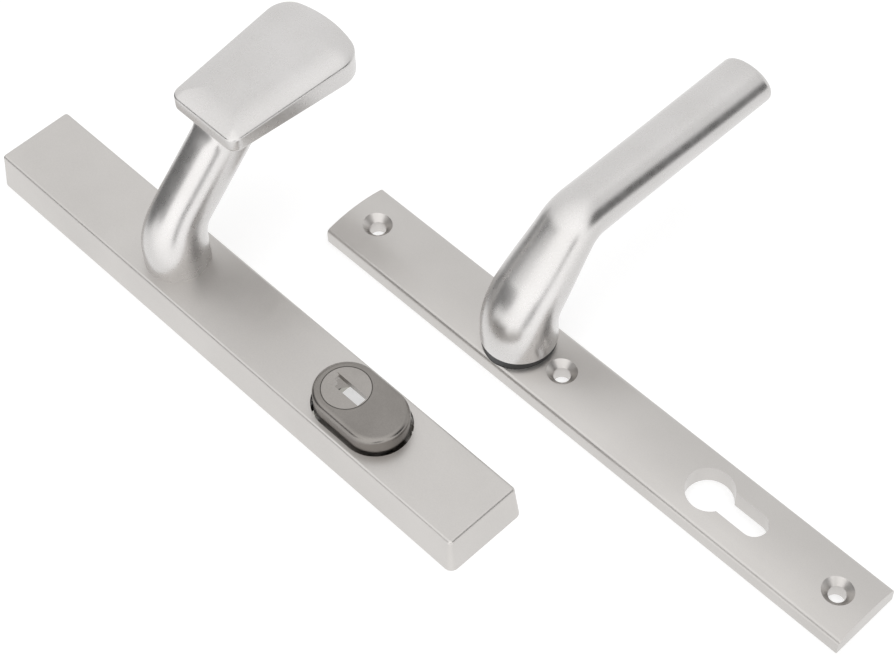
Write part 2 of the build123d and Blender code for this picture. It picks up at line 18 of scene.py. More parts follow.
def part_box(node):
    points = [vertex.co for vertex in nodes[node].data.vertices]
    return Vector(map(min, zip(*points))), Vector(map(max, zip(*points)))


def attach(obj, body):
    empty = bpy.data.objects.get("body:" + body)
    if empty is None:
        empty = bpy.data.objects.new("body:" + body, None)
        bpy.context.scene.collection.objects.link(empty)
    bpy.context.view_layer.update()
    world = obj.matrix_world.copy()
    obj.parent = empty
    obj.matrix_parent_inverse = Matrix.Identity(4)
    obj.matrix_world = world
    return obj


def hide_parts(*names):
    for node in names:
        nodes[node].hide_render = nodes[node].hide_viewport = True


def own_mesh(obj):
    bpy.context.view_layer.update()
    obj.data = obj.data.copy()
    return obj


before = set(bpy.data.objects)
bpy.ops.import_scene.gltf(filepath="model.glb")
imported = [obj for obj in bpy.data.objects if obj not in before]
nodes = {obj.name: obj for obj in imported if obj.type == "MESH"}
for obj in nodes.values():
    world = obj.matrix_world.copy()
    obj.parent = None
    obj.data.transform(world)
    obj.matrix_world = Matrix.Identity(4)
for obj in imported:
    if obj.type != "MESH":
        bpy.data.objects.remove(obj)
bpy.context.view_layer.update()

# %% [markdown]
# ## Lengths and places
#
# Blender counts in metres, but a lock maker thinks in millimetres. One factor keeps the two apart, so
# that every size below can be read as it would be on a drawing. Places come from the solid parts
# themselves: a part's box tells where its axis is, so nothing here has to be measured twice.

# %% Lengths and places
MM = 0.001


def centre_of(node):
    """Gives the middle of a solid part's box."""
    corner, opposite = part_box(node)
    return (corner + opposite) / 2


knob_x, knob_y = centre_of("knob_bolt").xy
disc_axis = centre_of("key_disc").xy
print("knob axis", [round(place / MM, 1) for place in (knob_x, knob_y)])
print("disc axis", [round(place / MM, 1) for place in disc_axis])

# %% [markdown]
# ## Colour
#
# Paint and anodising shops give colours as the eye sees them, which is the sRGB scale of a hex code.
# A renderer adds up light, so it needs the linear scale. One function turns the first into the second,
# and every colour in this file goes through it.

# %% Turn a hex colour into light
def colour(code):
    """Gives the linear colour, with full opacity, of an sRGB hex code such as C6C3C0."""
    channels = [int(code[i : i + 2], 16) / 255 for i in (0, 2, 4)]
    linear = [c / 12.92 if c <= 0.04045 else ((c + 0.055) / 1.055) ** 2.4 for c in channels]
    return (*linear, 1.0)


print("satin aluminium as light", [round(c, 3) for c in colour("C6C3C0")])

# %% [markdown]
# ## Building a material from nodes
#
# A finish is a small machine of nodes: one gives the place on the part, some make patterns from it, and
# the last one mixes what the light sees. The same three steps come again and again, so one function
# adds a node, sets it and connects it.

# %% Add a node
def add_node(tree, kind, wires=None, **settings):
    """Adds a node. wires maps its inputs to another node's output, or to a plain value."""
    node = tree.nodes.new(kind)
    for name, value in settings.items():
        setattr(node, name, value)
    for socket, value in (wires or {}).items():
        if isinstance(value, bpy.types.NodeSocket):
            tree.links.new(value, node.inputs[socket])
        else:
            node.inputs[socket].default_value = value
    return node


def start_material(name, metallic, roughness):
    """Gives a new material, its tree, its shader and the output that tells the place on the part."""
    material = bpy.data.materials.new(name)
    material.use_nodes = True
    tree = material.node_tree
    tree.nodes.clear()
    shader = add_node(tree, "ShaderNodeBsdfPrincipled", {"Metallic": metallic, "Roughness": roughness})
    add_node(tree, "ShaderNodeOutputMaterial", {"Surface": shader.outputs["BSDF"]})
    place = add_node(tree, "ShaderNodeTexCoord").outputs["Object"]
    return material, tree, shader, place


# %% [markdown]
# ## Patterns that the metals share
#
# A satin metal is not one even grey. Its skin has a fine grain from blasting or etching, which scatters
# the light, and slow clouds of lighter and darker tone from the bath that it was dipped in. Both are
# noise, at two sizes: grains of some tenths of a millimetre, and clouds of some centimetres. Turned
# parts have rings round their axis instead, which the tool leaves as it feeds across the face.

# %% Noise, tones and relief
def noise(tree, place, size_mm, detail=2.0, stretch=(1, 1, 1)):
    """Gives a noise whose blobs are about the given size, stretched along the axes if asked."""
    spread = add_node(tree, "ShaderNodeMapping", {"Vector": place, "Scale": stretch}).outputs["Vector"]
    wires = {"Vector": spread, "Scale": 1 / (size_mm * MM), "Detail": detail}
    return add_node(tree, "ShaderNodeTexNoise", wires).outputs["Fac"]


def distance_from(tree, place, axis):
    """Gives how far a place is from an upright axis."""
    around = add_node(tree, "ShaderNodeMapping", {"Vector": place, "Location": (-axis[0], -axis[1], 0)})
    wires = {0: around.outputs["Vector"], 1: (1, 1, 0)}
    flat = add_node(tree, "ShaderNodeVectorMath", wires, operation="MULTIPLY")
    length = add_node(tree, "ShaderNodeVectorMath", {0: flat.outputs["Vector"]}, operation="LENGTH")
    return length.outputs["Value"]


def rings(tree, place, axis, spacing_mm):
    """Gives fine turning rings round an upright axis, from 0 in the groove to 1 on the crest."""
    wires = {0: distance_from(tree, place, axis), 1: math.tau / (spacing_mm * MM)}
    turns = add_node(tree, "ShaderNodeMath", wires, operation="MULTIPLY")
    wave = add_node(tree, "ShaderNodeMath", {0: turns.outputs["Value"]}, operation="SINE")
    wires = {"Value": wave.outputs["Value"], "From Min": -1.0}
    return add_node(tree, "ShaderNodeMapRange", wires).outputs["Result"]


def ramp(tree, value, low, high, to_low, to_high):
    """Maps a value from one range to another, held at its ends."""
    wires = {"Value": value, "From Min": low, "From Max": high, "To Min": to_low, "To Max": to_high}
    return add_node(tree, "ShaderNodeMapRange", wires).outputs["Result"]


def between(tree, share, dark, light):
    """Mixes two hex colours by a pattern."""
    wires = {"Factor": share, "A": colour(dark), "B": colour(light)}
    return add_node(tree, "ShaderNodeMix", wires, data_type="RGBA").outputs["Result"]


def relief(tree, shader, height, depth_mm, strength=1.0, under=None):
    """Raises the surface by a pattern, on top of another relief if one is given."""
    wires = {"Height": height, "Distance": depth_mm * MM, "Strength": strength}
    if under is not None:
        wires["Normal"] = under
    bump = add_node(tree, "ShaderNodeBump", wires)
    tree.links.new(bump.outputs["Normal"], shader.inputs["Normal"])
    return bump.outputs["Normal"]


print("patterns ready")

# %% [markdown]
# ## Satin anodised aluminium
#
# The inside plate is sawn from an extruded bar, etched to a silky matt and anodised in its natural
# colour. Aluminium reflects about six tenths of the light under that oxide skin, and the etch makes
# every reflection soft, so the plate looks almost like paper with a sheen. The etch grain is about a
# tenth of a millimetre, which is finer than a pixel here, so it is drawn three times as coarse.

# %% Satin anodised aluminium
def satin_anodised(name, light, dark, roughness, grain_mm, grain_depth_mm):
    """Makes anodised aluminium whose tone wanders between two hex colours."""
    material, tree, shader, place = start_material(name, 1.0, roughness)
    clouds = noise(tree, place, 32.0, detail=3.0)
    grain = noise(tree, place, grain_mm)
    mixed = add_node(tree, "ShaderNodeMix", {"Factor": 0.45, "A": clouds, "B": grain}).outputs["Result"]
    tone = between(tree, ramp(tree, mixed, 0.35, 0.65, 0.0, 1.0), dark, light)
    tree.links.new(tone, shader.inputs["Base Color"])
    uneven = ramp(tree, noise(tree, place, 4.0), 0.3, 0.7, roughness - 0.02, roughness + 0.02)
    tree.links.new(uneven, shader.inputs["Roughness"])
    relief(tree, shader, grain, grain_depth_mm)
    return material


finishes = {
    "satin_aluminium": satin_anodised("anodised_aluminium_etched", "C6C3C0", "BEBBB8", 0.34, 0.30, 0.004),
    "shield_aluminium": satin_anodised("anodised_aluminium_shield", "CAC7C4", "C2BFBC", 0.36, 0.34, 0.005),
    "cast_aluminium": satin_anodised("anodised_aluminium_blasted", "D3D1D0", "C8C6C4", 0.28, 0.50, 0.007),
}
print("aluminium finishes", sorted(finishes))

# %% [markdown]
# ## Plated steel
#
# The cylinder cover is the part that a drill would meet first, so it is hardened steel with a satin
# nickel plating: darker and warmer than the aluminium, and a little shinier. The key disc is turned on
# a lathe, so its face has rings about its own axis. The fine gap round it lies in shade, and that shade
# is painted as a dark line on the edge of its seat. The screws, bolt and posts are bright zinc, whose
# tiny crystals give a cool and slightly blotchy tone, and the springs are black with phosphate.

# %% Satin nickel
# Painted shade: within this ring round the disc's axis, the cover's colour turns dark, as if the gap round
# the key disc were in shade
GAP_SHADE_INNER = 9.00 * MM
GAP_SHADE_OUTER = 9.35 * MM


def satin_nickel(name, light, dark, roughness, axis, turned):
    """Makes plated steel, either turned about its axis or with a painted shade line in the gap round it."""
    material, tree, shader, place = start_material(name, 1.0, roughness)
    grain = noise(tree, place, 0.35)
    clouds = noise(tree, place, 14.0, detail=3.0)
    mixed = add_node(tree, "ShaderNodeMix", {"Factor": 0.5, "A": clouds, "B": grain}).outputs["Result"]
    tone = between(tree, ramp(tree, mixed, 0.35, 0.65, 0.0, 1.0), dark, light)
    if turned:
        tree.links.new(tone, shader.inputs["Base Color"])
        # Lathe rings are some hundredths of a millimetre apart, and are drawn coarser to show at all
        relief(tree, shader, rings(tree, place, axis, 0.45), 0.006)
    else:
        # Painted shade: the gap round the key disc gets a dark 2B2825 line in place of the plated tone
        beyond_gap_shade = ramp(tree, distance_from(tree, place, axis), GAP_SHADE_INNER, GAP_SHADE_OUTER, 0.0, 1.0)
        wires = {"Factor": beyond_gap_shade, "A": colour("2B2825"), "B": tone}
        gap_shade_mix = add_node(tree, "ShaderNodeMix", wires, data_type="RGBA")
        tree.links.new(gap_shade_mix.outputs["Result"], shader.inputs["Base Color"])
        relief(tree, shader, grain, 0.004)
    return material


finishes["hardened_cover"] = satin_nickel("nickel_plated_steel", "908C88", "86827E", 0.25, disc_axis, False)
finishes["key_disc_steel"] = satin_nickel("turned_plated_steel", "A9A5A1", "9D9995", 0.33, disc_axis, True)


# %% Bright zinc
def bright_zinc(name, light, dark, roughness, crystal_mm):
    """Makes zinc plated steel with its small crystal patches."""
    material, tree, shader, place = start_material(name, 1.0, roughness)
    wires = {"Vector": place, "Scale": 1 / (crystal_mm * MM)}
    crystals = add_node(tree, "ShaderNodeTexVoronoi", wires)
    tree.links.new(between(tree, crystals.outputs["Distance"], dark, light), shader.inputs["Base Color"])
    patchy = ramp(tree, noise(tree, place, 2.0), 0.3, 0.7, roughness - 0.05, roughness + 0.07)
    tree.links.new(patchy, shader.inputs["Roughness"])
    relief(tree, shader, noise(tree, place, 0.25), 0.004)
    return material


finishes["zinc_steel"] = bright_zinc("zinc_plated_steel", "C9CDD2", "B4B9C0", 0.26, 0.8)
finishes["armour_steel"] = bright_zinc("hardened_armour_plate", "A9A79F", "8F8E8A", 0.38, 1.6)


# %% Phosphated spring steel
def phosphated_steel(name):
    """Makes the dark crystalline skin of phosphated spring steel."""
    material, tree, shader, place = start_material(name, 1.0, 0.45)
    specks = noise(tree, place, 0.4, detail=4.0)
    tone = between(tree, ramp(tree, specks, 0.3, 0.7, 0.0, 1.0), "3A3A3C", "5A5A5D")
    tree.links.new(tone, shader.inputs["Base Color"])
    relief(tree, shader, specks, 0.006)
    return material


finishes["spring_steel"] = phosphated_steel("phosphated_spring_steel")
print("steel finishes", sorted(set(finishes) - {"satin_aluminium", "shield_aluminium", "cast_aluminium"}))

# %% [markdown]
# ## Moulded nylon
#
# The black ring that peeps out under the lever is the bush it turns in, moulded in black nylon. Nylon
# is not a metal: it has a deep colour of its own and only a thin gloss on top, broken by the faint
# frost that the mould leaves.

# %% Black nylon
def moulded_nylon(name):
    """Makes black moulded nylon with a faint mould frost."""
    material, tree, shader, place = start_material(name, 0.0, 0.42)
    shader.inputs["IOR"].default_value = 1.53
    frost = noise(tree, place, 0.35)
    tree.links.new(between(tree, frost, "0C0C0D", "1B1B1D"), shader.inputs["Base Color"])
    relief(tree, shader, frost, 0.006)
    return material


finishes["bearing_nylon"] = moulded_nylon("moulded_black_nylon")

# %% [markdown]
# ## Dressing the solid parts
#
# Every solid part says in its own material slot which finish it is made in, so a loop is enough.

# %% Dress the solid parts
for node in nodes.values():
    for holder in node.material_slots:
        holder.material = finishes[holder.material.name]
print("dressed", len(nodes), "parts in", len(finishes), "finishes")

# %% [markdown]
# ## The threads that the fixing screws pull on
#
# Three posts stand in the back of the shield. Screws come through the door from the inside plate and
# pull on them, so they can't be undone from outside. Each post is turned from steel and tapped M6. A
# thread could be painted on as bump, but it is plainly seen from the back, so it is cut as real shape:
# the hole's wall is a fine grid, and each point of it moves out by as much as the thread is deep there.

# %% Thread shape
THREAD_PITCH = 1.0 * MM
THREAD_OUTER = 3.0 * MM
THREAD_INNER = 2.5 * MM
THREAD_LENGTH = 8.5 * MM
MOUTH_CHAMFER = 0.6 * MM
STEPS_ROUND = 48
ROWS_PER_TURN = 12


def thread_radius(turn, height):
    """Gives the hole's radius at a share of a turn and a height above its mouth."""
    phase = (height / THREAD_PITCH - turn) % 1.0
    ridge = abs(2 * phase - 1)
    cut = THREAD_INNER + (THREAD_OUTER - THREAD_INNER) * min(1.0, 1.25 * ridge)
    mouth = THREAD_OUTER + MOUTH_CHAMFER - height
    return max(cut, mouth)


print("thread has", round(THREAD_LENGTH / THREAD_PITCH, 1), "turns")


# %% A lathe in code
def turned_rows(rows, axis):
    """Makes a closed mesh of rings. Each row gives radius and height at a share of a turn."""
    shape = bmesh.new()
    loops = []
    for row in rows:
        loop = []
        for step in range(STEPS_ROUND):
            turn = step / STEPS_ROUND
            radius, height = row(turn)
            x = axis[0] + radius * math.cos(math.tau * turn)
            y = axis[1] + radius * math.sin(math.tau * turn)
            loop.append(shape.verts.new((x, y, height)))
        loops.append(loop)
    for lower, upper in zip(loops, loops[1:]):
        for step in range(STEPS_ROUND):
            after = (step + 1) % STEPS_ROUND
            shape.faces.new((lower[step], lower[after], upper[after], upper[step]))
    for end in (loops[0], loops[-1]):
        shape.faces.new(end)
    bmesh.ops.recalc_face_normals(shape, faces=shape.faces)
    return shape


# Faces that meet at more than this angle keep a sharp edge between them
SHARP_ANGLE = math.radians(30)


def shade_smooth(mesh):
    """Shades a mesh smoothly, and keeps its sharp edges sharp."""
    for face in mesh.polygons:
        face.use_smooth = True
    mesh.set_sharp_from_angle(angle=SHARP_ANGLE)


def finish_piece(shape, name, material, body):
    """Turns a worked shape into a named piece that rides on a body and wears a finish."""
    mesh = bpy.data.meshes.new(name)
    shape.to_mesh(mesh)
    shape.free()
    piece = bpy.data.objects.new(name, mesh)
    bpy.context.scene.collection.objects.link(piece)
    mesh.materials.append(material)
    shade_smooth(mesh)
    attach(piece, body)
    return piece


# %% Posts
POST_FOOT_RADIUS = 4.5 * MM
POST_CHAMFER = 0.4 * MM
THREAD_END_DEPTH = 9.5 * MM
DRILL_POINT_RADIUS = 0.2 * MM


def plain(radius, height):
    """Gives a row that has the same radius and height all the way round."""
    return lambda turn: (radius, height)


def tapped(height):
    """Gives a row of the tapped hole's wall."""
    return lambda turn: (thread_radius(turn, height), height)


plate_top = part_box("armour_plate")[1].z
for place in ("top", "middle", "bottom"):
    node = f"threaded_post_{place}"
    low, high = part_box(node)
    outer = (high.x - low.x) / 2
    rows = [
        plain(DRILL_POINT_RADIUS, THREAD_END_DEPTH),
        plain(THREAD_INNER, THREAD_LENGTH),
    ]
    count = int(THREAD_LENGTH / THREAD_PITCH * ROWS_PER_TURN)
    rows += [tapped(THREAD_LENGTH * (1 - step / count)) for step in range(1, count + 1)]
    rows += [
        plain(POST_FOOT_RADIUS - POST_CHAMFER, 0.0),
        plain(POST_FOOT_RADIUS, POST_CHAMFER),
        plain(POST_FOOT_RADIUS, plate_top),
        plain(outer - POST_CHAMFER, plate_top),
        plain(outer, plate_top + POST_CHAMFER),
        plain(outer, high.z - POST_CHAMFER),
        plain(outer - POST_CHAMFER, high.z),
    ]
    post = turned_rows(rows, centre_of(node))
    piece = finish_piece(post, f"tapped_post_{place}", finishes["zinc_steel"], "root")
    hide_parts(node)
    print(piece.name, "has", len(piece.data.polygons), "faces")

# %% [markdown]
# ## Leaf springs under the cover
#
# The cylinder cover can give four millimetres, so that it sits flush on cylinders of unlike length. Two
# bowed strips of spring steel push it out again. A strip is one row of flat faces along an arc, which
# two modifiers then make thick and round off. When the cover is pressed, the bow flattens, which the
# solid world can't show.

# %% Leaf springs
SPRING_THICKNESS = 0.4 * MM
SPRING_EDGE = 0.08 * MM
BOW_STEPS = 28
WIDTH_STEPS = 4

for place in ("upper", "lower"):
    node = f"cover_spring_{place}"
    low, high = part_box(node)
    half_span = (high.y - low.y) / 2
    foot = low.z + SPRING_THICKNESS / 2
    rise = high.z - SPRING_THICKNESS / 2 - foot
    bow_radius = (half_span**2 + rise**2) / (2 * rise)
    half_angle = math.asin(half_span / bow_radius)
    strip = bmesh.new()
    rows = []
    for step in range(BOW_STEPS + 1):
        angle = half_angle * (2 * step / BOW_STEPS - 1)
        y = centre_of(node).y + bow_radius * math.sin(angle)
        z = foot + rise - bow_radius * (1 - math.cos(angle))
        across = [low.x + (high.x - low.x) * i / WIDTH_STEPS for i in range(WIDTH_STEPS + 1)]
        rows.append([strip.verts.new((x, y, z)) for x in across])
    for row, after in zip(rows, rows[1:]):
        for i in range(WIDTH_STEPS):
            strip.faces.new((row[i], row[i + 1], after[i + 1], after[i]))
    piece = finish_piece(strip, f"leaf_spring_{place}", finishes["spring_steel"], "root")
    thick = piece.modifiers.new("thickness", "SOLIDIFY")
    thick.thickness = SPRING_THICKNESS
    thick.offset = 0.0
    rounding = piece.modifiers.new("rounding", "BEVEL")
    rounding.width = SPRING_EDGE
    rounding.segments = 2
    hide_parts(node)
    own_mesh(piece)
    print(piece.name, "rises", round(rise / MM, 2), "mm")

# %% [markdown]
# ## The lever's casting
#
# The lever is the piece that the hand meets, and the eye reads its form from two reflections that run
# along it. It is cast in one piece: a round foot, a neck that leans over at 45 degrees, a tight elbow
# and an oval grip. The solid lever gives that form its size, but has a shallow dip behind the elbow,
# where one chain of sections ends and the next begins, and a polished casting has none. So the casting
# is made again here as one skin over nearly the same line, with a tighter elbow as in the photograph.
# The line is straight, bend, straight, bend, straight, and each row of points stands square across it.
# Widths and thicknesses glide from one station to the next.

# %% The line that the lever follows
FOOT_PLAY = 0.1 * MM
FOOT_RADIUS = 14.2 * MM
FOOT_RISE = 6.6 * MM
FOOT_BEND = 20.3 * MM
NECK_LEAN = math.radians(45)
ELBOW_BEND = 12.0 * MM
GRIP_HEIGHT = 52.4 * MM
GRIP_END_ROUNDING = 2.4 * MM

foot_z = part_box("bearing_bush")[1].z + FOOT_PLAY
neck_start = Vector((
    0, FOOT_BEND * (1 - math.cos(NECK_LEAN)), foot_z + FOOT_RISE + FOOT_BEND * math.sin(NECK_LEAN)
))
elbow_z = GRIP_HEIGHT - ELBOW_BEND * (1 - math.sin(NECK_LEAN))
elbow_start = Vector((0, neck_start.y + (elbow_z - neck_start.z) * math.tan(NECK_LEAN), elbow_z))
grip_start = Vector((0, elbow_start.y + ELBOW_BEND * math.cos(NECK_LEAN), GRIP_HEIGHT))
grip_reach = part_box("lever")[1].y
stretches = [
    FOOT_RISE,
    FOOT_BEND * NECK_LEAN,
    (elbow_start - neck_start).length,
    ELBOW_BEND * (math.pi / 2 - NECK_LEAN),
    grip_reach - grip_start.y,
]
stations = [sum(stretches[:count]) for count in range(len(stretches) + 1)]
print("lever line", round(stations[-1] / MM, 1), "mm, stretches", [round(x / MM, 1) for x in stretches])


def lever_line(run):
    """Gives the place and the lean of the lever's line at a distance along it."""
    if run < stations[1]:
        return Vector((0, 0, foot_z + run)), 0.0
    if run < stations[2]:
        lean = (run - stations[1]) / FOOT_BEND
        rise = Vector((0, FOOT_BEND * (1 - math.cos(lean)), FOOT_BEND * math.sin(lean)))
        return Vector((0, 0, foot_z + FOOT_RISE)) + rise, lean
    if run < stations[3]:
        return neck_start.lerp(elbow_start, (run - stations[2]) / stretches[2]), NECK_LEAN
    if run < stations[4]:
        lean = NECK_LEAN + (run - stations[3]) / ELBOW_BEND
        centre = grip_start - Vector((0, 0, ELBOW_BEND))
        return centre + Vector((0, -math.cos(lean), math.sin(lean))) * ELBOW_BEND, lean
    return grip_start + Vector((0, run - stations[4], 0)), math.pi / 2


# %% [markdown]
# Each station has its own width and thickness in millimetres. Between two stations the size follows an
# easy S curve, so that no slope changes suddenly and the reflections run on without a kink.

# %% The lever's sections
SECTION_SIZES = ((28.4, 28.4), (28.4, 28.2), (27.3, 22.8), (22.9, 17.9), (21.9, 17.2), (22.8, 15.2))


def section_size(run):
    """Gives the half width and half thickness of the lever at a distance along its line."""
    index = max(i for i in range(len(stretches)) if run >= stations[i])
    share = (run - stations[index]) / stretches[index]
    before = SECTION_SIZES[max(index - 1, 0)]
    start, end = SECTION_SIZES[index], SECTION_SIZES[index + 1]
    after = SECTION_SIZES[min(index + 2, len(SECTION_SIZES) - 1)]
    sizes = []
    for axis in (0, 1):
        entry = station_slope(before[axis], start[axis], end[axis], index)
        leave = station_slope(start[axis], end[axis], after[axis], index + 1)
        sizes.append(hermite(start[axis], end[axis], entry, leave, share, stretches[index]) * MM / 2)
    return sizes


def station_slope(before, here, after, index):
    """Gives how fast a size changes at a station, from its neighbours on both sides."""
    if index == 0 or index == len(stretches):
        return 0.0
    slope_in = (here - before) / stretches[index - 1]
    slope_out = (after - here) / stretches[index]
    return 0.0 if slope_in * slope_out <= 0 else 2 * slope_in * slope_out / (slope_in + slope_out)


def hermite(start, end, slope_start, slope_end, share, length):
    """Glides from start to end with the given slopes at both."""
    a, b = share * share * (3 - 2 * share), share * (1 - share)
    return start + (end - start) * a + length * b * (slope_start * (1 - share) - slope_end * share)


print("grip is", SECTION_SIZES[-1], "mm at its end")

# %% [markdown]
# The whole lever is a chain of rings. It starts at the top of the square socket that takes the lock's
# spindle, comes down the socket's walls, goes round the end of the shank, up past the ring groove, out
# under the foot, along the line to the grip and over its rounded end. Every ring has as many points as
# the last, so each pair is joined by a band of four-sided faces.

# %% The lever's skin
STEPS_AROUND = 88
ROW_SPACING = 1.1 * MM
END_STEPS = 8
SHANK_RADIUS = 8.0 * MM
SHANK_END = 0.3 * MM
SHANK_CHAMFER = 0.4 * MM
GROOVE_DEPTH = 0.6 * MM
GROOVE_PLAY = 0.05 * MM
SOCKET_HALF = 4.05 * MM
SOCKET_DEPTH = 22.0 * MM
BORE_RADIUS = 3.05 * MM


def flat_ring(reach, height):
    """Gives a level ring round the lever's axis. reach tells how far out it is in each direction."""
    points = []
    for step in range(STEPS_AROUND):
        angle = math.tau * step / STEPS_AROUND
        points.append(Vector((reach(angle) * math.cos(angle), -reach(angle) * math.sin(angle), height)))
    return points


def round_ring(radius, height):
    """Gives a level circle round the lever's axis."""
    return flat_ring(lambda angle: radius, height)


def square_ring(height):
    """Gives a level square of the spindle's size."""
    return flat_ring(lambda angle: SOCKET_HALF / max(abs(math.cos(angle)), abs(math.sin(angle))), height)


def lever_ring(run, inset=0.0):
    """Gives the ring across the lever's line, drawn in a little where an edge is rounded."""
    centre, lean = lever_line(run)
    half_width, half_thickness = section_size(min(run, stations[-1]))
    outwards = Vector((0, -math.cos(lean), math.sin(lean)))
    points = []
    for step in range(STEPS_AROUND):
        angle = math.tau * step / STEPS_AROUND
        side = (half_width - inset) * math.cos(angle)
        points.append(centre + Vector((side, 0, 0)) + outwards * (half_thickness - inset) * math.sin(angle))
    return points


def skin(rings):
    """Joins a chain of rings into one closed skin."""
    shape = bmesh.new()
    loops = [[shape.verts.new(point) for point in ring] for ring in rings]
    for lower, upper in zip(loops, loops[1:]):
        for step in range(len(lower)):
            after = (step + 1) % len(lower)
            shape.faces.new((lower[step], lower[after], upper[after], upper[step]))
    for end in (loops[0], loops[-1]):
        shape.faces.new(end)
    bmesh.ops.recalc_face_normals(shape, faces=shape.faces)
    return shape


clip_low, clip_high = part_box("lever_circlip")
rings_of_lever = [
    square_ring(SHANK_END + SOCKET_DEPTH),
    square_ring(SHANK_END),
    round_ring(SHANK_RADIUS - SHANK_CHAMFER, SHANK_END),
    round_ring(SHANK_RADIUS, SHANK_END + SHANK_CHAMFER),
    round_ring(SHANK_RADIUS, clip_low.z - GROOVE_PLAY),
    round_ring(SHANK_RADIUS - GROOVE_DEPTH, clip_low.z - GROOVE_PLAY),
    round_ring(SHANK_RADIUS - GROOVE_DEPTH, clip_high.z + GROOVE_PLAY),
    round_ring(SHANK_RADIUS, clip_high.z + GROOVE_PLAY),
    round_ring(SHANK_RADIUS, foot_z),
    round_ring(FOOT_RADIUS - SHANK_CHAMFER, foot_z),
]
grip_edge = stations[-1] - GRIP_END_ROUNDING
row_count = round((grip_edge - SHANK_CHAMFER) / ROW_SPACING)
for row in range(row_count):
    rings_of_lever.append(lever_ring(SHANK_CHAMFER + (grip_edge - SHANK_CHAMFER) * row / row_count))
for step in range(END_STEPS + 1):
    swing = math.pi / 2 * step / END_STEPS
    inset = GRIP_END_ROUNDING * (1 - math.cos(swing))
    rings_of_lever.append(lever_ring(grip_edge + GRIP_END_ROUNDING * math.sin(swing), inset))
cast = finishes["cast_aluminium"]
lever_casting = finish_piece(skin(rings_of_lever), "lever_casting", cast, "lever")
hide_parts("lever")
print("lever has", len(rings_of_lever), "rings and", len(lever_casting.data.polygons), "faces")

# %% [markdown]
# The screw that clamps the spindle sits in a bore that comes in from the side. A boolean is right here:
# the bore meets a curved wall outside and a flat socket wall inside, and no ring of points could follow
# both. The cutter is needed only for a moment, so its result is kept and the cutter itself goes.

# %% A drill
DRILL_SIDES = 48


def drill_out(piece, radius, start, end):
    """Drills a round hole through a piece, from one point to another."""
    bit = bmesh.new()
    way = end - start
    place = Matrix.Translation((start + end) / 2) @ way.to_track_quat("Z", "Y").to_matrix().to_4x4()
    bmesh.ops.create_cone(
        bit,
        cap_ends=True,
        segments=DRILL_SIDES,
        radius1=radius,
        radius2=radius,
        depth=way.length,
        matrix=place,
    )
    bit_mesh = bpy.data.meshes.new("drill_bit")
    bit.to_mesh(bit_mesh)
    bit.free()
    bit_object = bpy.data.objects.new("drill_bit", bit_mesh)
    bpy.context.scene.collection.objects.link(bit_object)
    cut = piece.modifiers.new("hole", "BOOLEAN")
    cut.operation = "DIFFERENCE"
    cut.object = bit_object
    bpy.context.view_layer.update()
    seen = piece.evaluated_get(bpy.context.evaluated_depsgraph_get())
    drilled = bpy.data.meshes.new_from_object(seen)
    piece.modifiers.clear()
    piece.data = drilled
    bpy.data.objects.remove(bit_object)
    shade_smooth(drilled)


grub = centre_of("lever_grub_screw")
outside_foot = Vector((-FOOT_RADIUS - MM, 0, grub.z))
inside_socket = Vector((-SOCKET_HALF / 2, 0, grub.z))
drill_out(lever_casting, BORE_RADIUS, outside_foot, inside_socket)
print("bored lever has", len(lever_casting.data.polygons), "faces")

# %% [markdown]
# ## The knob's casting
#
# The knob doesn't turn: it is there to pull the door shut. It is a casting too, a round neck that leans
# over and spreads into a flared pad for the palm. Two things make it look cast and not cut from blocks:
# the neck runs into the pad through a hollow curve, and the pad's face rolls down to a softly broken
# rim. Both are easy in one chain of rings that starts round at the foot, spreads into the pad's outline
# under the pad, goes up its side and closes in over its face.

# %% The pad's outline
PAD_UNDERSIDE = 69.0 * MM
PAD_NEAR_RIM = 5.9 * MM
PAD_FAR_RIM = 10.2 * MM
PAD_START = 19.6 * MM
PAD_END = 81.8 * MM
PAD_NEAR_HALF = 16.9 * MM
PAD_FAR_HALF = 21.3 * MM
PAD_BOW = 4.8 * MM
PAD_CORNERS = (4.4 * MM, 10.0 * MM)
PAD_ROLL = 10.5 * MM
PAD_ROLL_DROP = 2.6 * MM
PAD_RIM_ROUNDING = 1.1 * MM
PAD_FOOT_ROUNDING = 1.2 * MM
POINTS_ON_SIDE = 30
POINTS_ON_CORNER = 10
POINTS_ON_END = 22
TINY_RADIUS = 0.15 * MM


def arc(centre, start, end, radius):
    """Gives the points of an arc round a centre, from one direction to another."""
    sweep = start.angle(end)
    points = []
    for step in range(POINTS_ON_CORNER + 1):
        share = step / POINTS_ON_CORNER
        spoke = start * math.sin(sweep * (1 - share)) + end * math.sin(sweep * share)
        points.append(centre + spoke * radius / math.sin(sweep))
    return points


def near_corner(corner, far, radius):
    """Gives the arc that joins the pad's straight near end to its straight right side."""
    to_side = (far - corner).normalized()
    to_middle = Vector((-1, 0))
    half_angle = to_side.angle(to_middle) / 2
    centre = corner + (to_side + to_middle).normalized() * radius / math.sin(half_angle)
    return arc(centre, Vector((0, -1)), Vector((to_side.y, -to_side.x)), radius)


def far_corner(corner, near, bow_centre, bow_radius, radius):
    """Gives the arc that joins the pad's right side to its bowed far end."""
    along = (near - corner).normalized()
    inwards = Vector((along.y, -along.x))
    offset = corner + inwards * radius - bow_centre
    lead = offset.dot(along)
    travel = -lead - math.sqrt(lead**2 - offset.length_squared + (bow_radius - radius) ** 2)
    centre = corner + along * travel + inwards * radius
    return arc(centre, -inwards, (centre - bow_centre).normalized(), radius)


def mirrored_points(points):
    """Gives the same points on the left side, in the order of the way round."""
    return [Vector((-point.x, point.y)) for point in reversed(points)]


